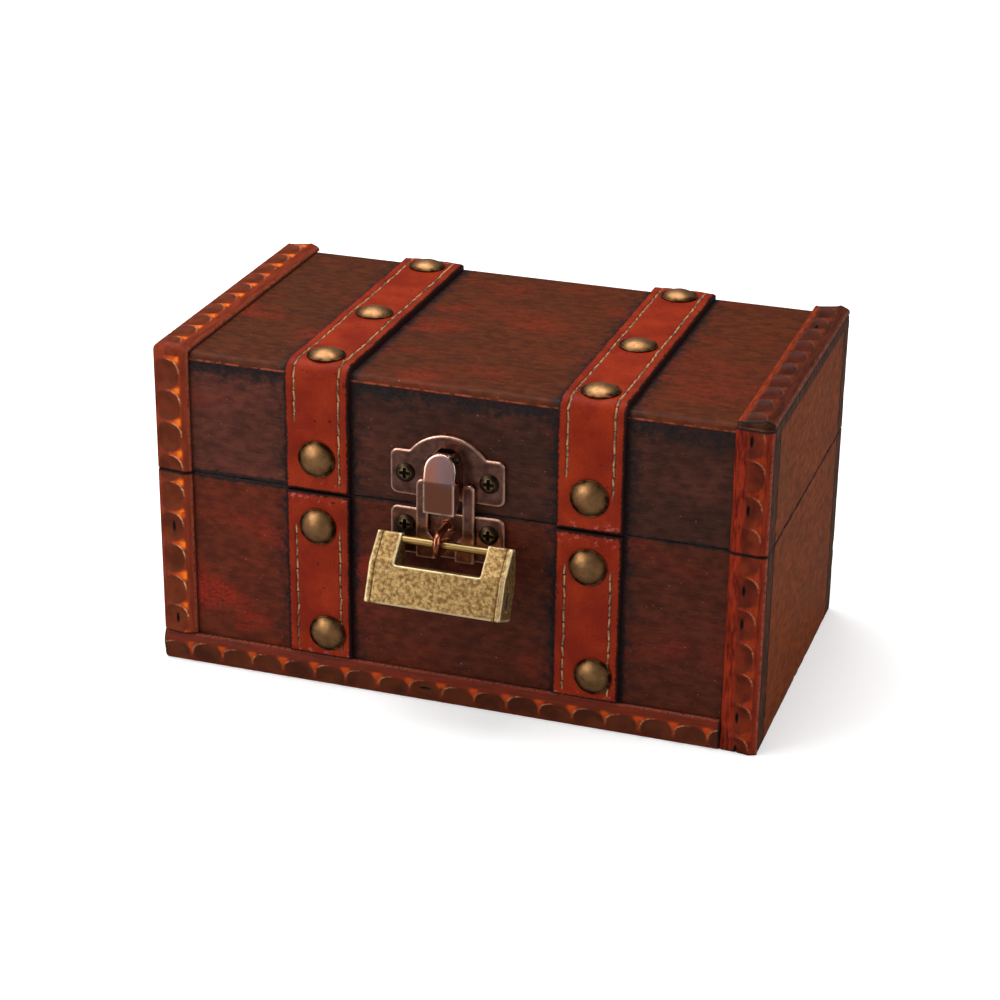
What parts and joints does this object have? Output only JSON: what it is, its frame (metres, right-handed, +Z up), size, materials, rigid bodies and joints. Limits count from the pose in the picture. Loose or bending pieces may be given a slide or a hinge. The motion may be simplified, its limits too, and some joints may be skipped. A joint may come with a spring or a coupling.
{
  "type": "treasure chest box",
  "caption": "Small flat-topped wooden chest with a hinged lid, carved edge mouldings, leather straps with dome nails, a copper hasp and a brass bar padlock.",
  "frame": {"origin": "middle of the wooden box's bottom face", "axes": "+X to the right seen from the front, -Y out of the front, +Z up"},
  "size_m": [0.165, 0.1114, 0.0932],
  "materials": {
    "stained_wood": "dark red-brown stain, rubbed",
    "carved_moulding": "carved, stained red-brown with rubbed ridges",
    "strap_leather": "smooth red-brown leather with stitched edges",
    "nail_brass": "antique brass",
    "hasp_copper": "antique copper, rubbed edges",
    "screw_bronze": "dark bronze",
    "lock_brass": "antique brass, sanded",
    "hinge_brass": "antique brass",
    "spring_steel": "plain"
  },
  "bodies": {
    "base": {"base_front_panel": "stained_wood", "base_back_panel": "stained_wood", "base_left_panel": "stained_wood", "base_right_panel": "stained_wood", "base_bottom_panel": "stained_wood", "base_front_trim_left": "carved_moulding", "base_front_trim_right": "carved_moulding", "base_front_trim_bottom": "carved_moulding", "base_strap_left": "strap_leather", "base_strap_right": "strap_leather", "base_strap_nails": "nail_brass", "base_trim_brads": "spring_steel", "hasp_lower_plate": "hasp_copper", "hasp_staple": "hasp_copper", "hasp_lower_screws": "screw_bronze", "hinge_base_leaf_left": "hinge_brass", "hinge_base_leaf_right": "hinge_brass", "hinge_pin_left": "hinge_brass", "hinge_pin_right": "hinge_brass", "hinge_base_screws": "hinge_brass"},
    "lid": {"lid_top_panel": "stained_wood", "lid_front_rail": "stained_wood", "lid_back_rail": "stained_wood", "lid_left_rail": "stained_wood", "lid_right_rail": "stained_wood", "lid_front_trim_left": "carved_moulding", "lid_front_trim_right": "carved_moulding", "lid_top_trim_left": "carved_moulding", "lid_top_trim_right": "carved_moulding", "lid_strap_left": "strap_leather", "lid_strap_right": "strap_leather", "lid_strap_nails": "nail_brass", "lid_trim_brads": "spring_steel", "hasp_upper_plate": "hasp_copper", "hasp_upper_screws": "screw_bronze", "hasp_tongue_pin": "hasp_copper", "hinge_lid_leaf_left": "hinge_brass", "hinge_lid_leaf_right": "hinge_brass", "hinge_lid_screws": "hinge_brass"},
    "tongue": {"hasp_tongue": "hasp_copper"},
    "padlock": {"lock_body": "lock_brass", "lock_key_plate": "lock_brass"},
    "lock_bolt": {"lock_shackle_bar": "lock_brass", "lock_bolt_plate": "lock_brass", "lock_spine": "lock_brass", "lock_spring_leaves": "spring_steel"}
  },
  "joints": [
    {"name": "lid_hinge", "type": "hinge", "parent": "base", "child": "lid", "pos_m": [0, 0.04665, 0.0558], "axis": [-1, 0, 0], "range_deg": [0, 170]},
    {"name": "tongue_hinge", "type": "hinge", "parent": "lid", "child": "tongue", "pos_m": [-0.0013, -0.0488, 0.071], "axis": [-1, 0, 0], "range_deg": [0, 90]},
    {"name": "padlock_swing", "type": "hinge", "parent": "base", "child": "padlock", "pos_m": [0.0004, -0.052, 0.04882], "axis": [-1, 0, 0], "range_deg": [0, 75]},
    {"name": "bolt_slide", "type": "slide", "parent": "padlock", "child": "lock_bolt", "axis": [-1, 0, 0], "range_m": [0, 0.026]}
  ]
}
